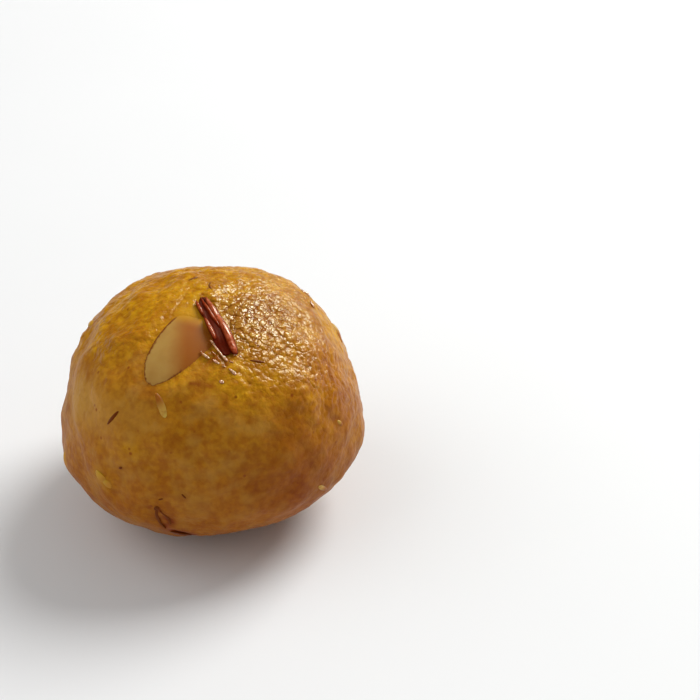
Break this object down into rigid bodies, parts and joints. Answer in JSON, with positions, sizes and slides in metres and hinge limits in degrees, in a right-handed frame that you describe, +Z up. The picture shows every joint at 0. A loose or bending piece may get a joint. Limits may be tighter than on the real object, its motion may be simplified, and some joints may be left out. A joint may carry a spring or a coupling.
{
  "type": "besan ladoo",
  "caption": "Round gram-flour sweet, hand rolled, slightly slumped, with sliced almond and curls of almond skin pressed into the dough; it stands on a small flat.",
  "frame": {"origin": "middle of the small flat that the ladoo stands on", "axes": "+Z up, -Y towards the front, where the almond flake shows, +X to its right"},
  "size_m": [0.0448, 0.044, 0.0368],
  "materials": {
    "dough": "golden ghee-rich gram-flour dough, moist and slightly translucent",
    "almond": "sliced almond, pale cream to khaki, waxy",
    "almond_skin": "red-brown almond skin, glossy with ghee",
    "pistachio": "chopped pistachio, dull green"
  },
  "bodies": {
    "root": {"besan_ladoo": "dough"}
  },
  "joints": []
}
